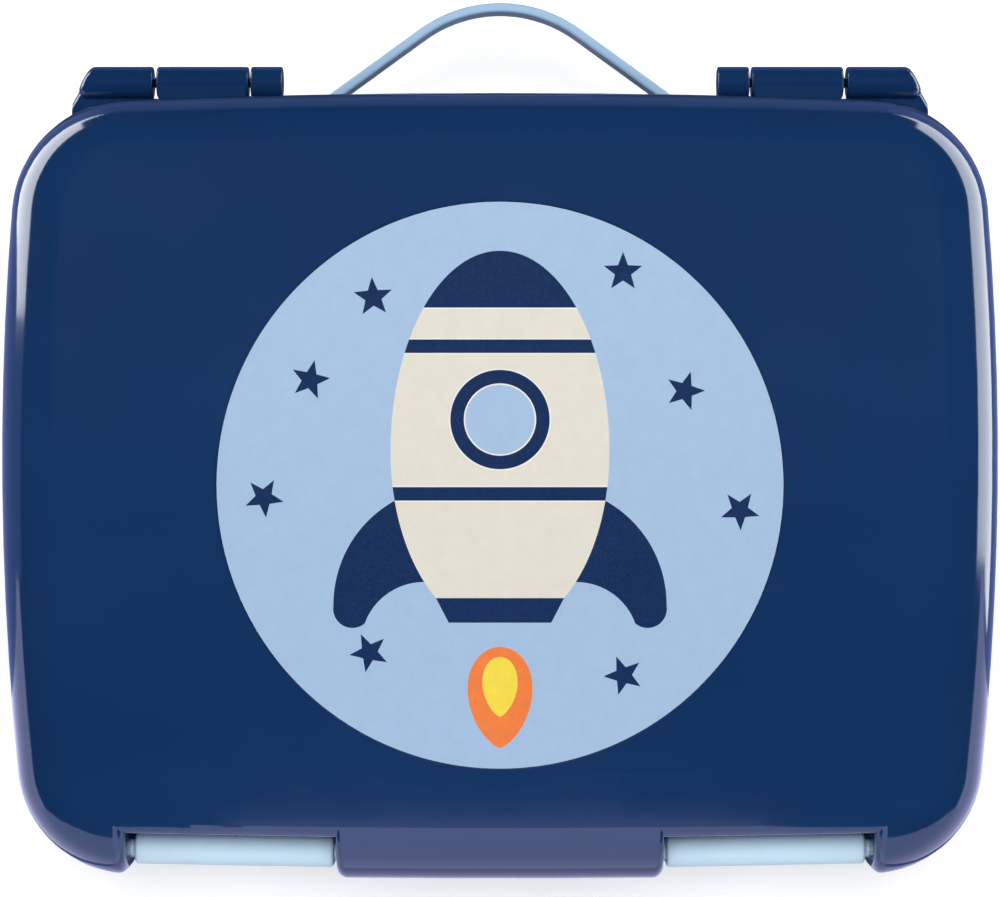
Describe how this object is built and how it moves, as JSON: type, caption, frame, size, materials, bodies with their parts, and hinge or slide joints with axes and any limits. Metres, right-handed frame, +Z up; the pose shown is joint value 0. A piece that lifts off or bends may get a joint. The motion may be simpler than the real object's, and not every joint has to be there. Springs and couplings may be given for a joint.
{
  "type": "kids lunch box",
  "caption": "Hinged lunch box with a rolled navy lid, round rocket print, front latches, rear strap handle and a compartment tray.",
  "frame": {"origin": "centre of the base's underside, under the middle of the lid's outline", "axes": "+Z up through the lid when the box lies on its base, +Y towards the hinges and handle, -Y towards the latches, X along the width"},
  "size_m": [0.21, 0.1878, 0.0622],
  "materials": {
    "navy_plastic": "glossy moulded plastic",
    "sky_plastic": "satin moulded plastic",
    "tray_plastic": "satin moulded plastic with matt floors",
    "liner_plastic": "satin white plastic",
    "print_film": "glossy printed film",
    "silicone": "matt translucent silicone",
    "anchor_plastic": "satin moulded plastic",
    "pin_steel": "drawn wire"
  },
  "bodies": {
    "base": {"base_shell": "navy_plastic", "compartment_tray": "tray_plastic", "hinge_pin_left": "pin_steel", "hinge_pin_right": "pin_steel", "handle_anchor_left": "anchor_plastic", "handle_anchor_right": "anchor_plastic", "handle_pin_left": "pin_steel", "handle_pin_right": "pin_steel"},
    "lid": {"lid_shell": "navy_plastic", "lid_print": "print_film", "lid_liner": "liner_plastic", "lid_seal": "silicone", "dip_seal": "silicone"},
    "latch_left": {"latch_left": "sky_plastic"},
    "latch_right": {"latch_right": "sky_plastic"},
    "handle": {"handle_strap": "sky_plastic"}
  },
  "joints": [
    {"name": "lid_open", "type": "hinge", "parent": "base", "child": "lid", "pos_m": [0, 0.086, 0.0402], "axis": [-1, 0, 0], "range_deg": [0, 115]},
    {"name": "latch_left_open", "type": "hinge", "parent": "lid", "child": "latch_left", "pos_m": [-0.0562, -0.0774, 0.0468], "axis": [-0.9998, 0.0185, 0], "range_deg": [0, 110]},
    {"name": "latch_right_open", "type": "hinge", "parent": "lid", "child": "latch_right", "pos_m": [0.0562, -0.0774, 0.0468], "axis": [-0.9998, -0.0185, 0], "range_deg": [0, 110]},
    {"name": "handle_fold", "type": "hinge", "parent": "base", "child": "handle", "pos_m": [0, 0.0802, 0.026], "axis": [-1, 0, 0], "range_deg": [0, 90]}
  ]
}
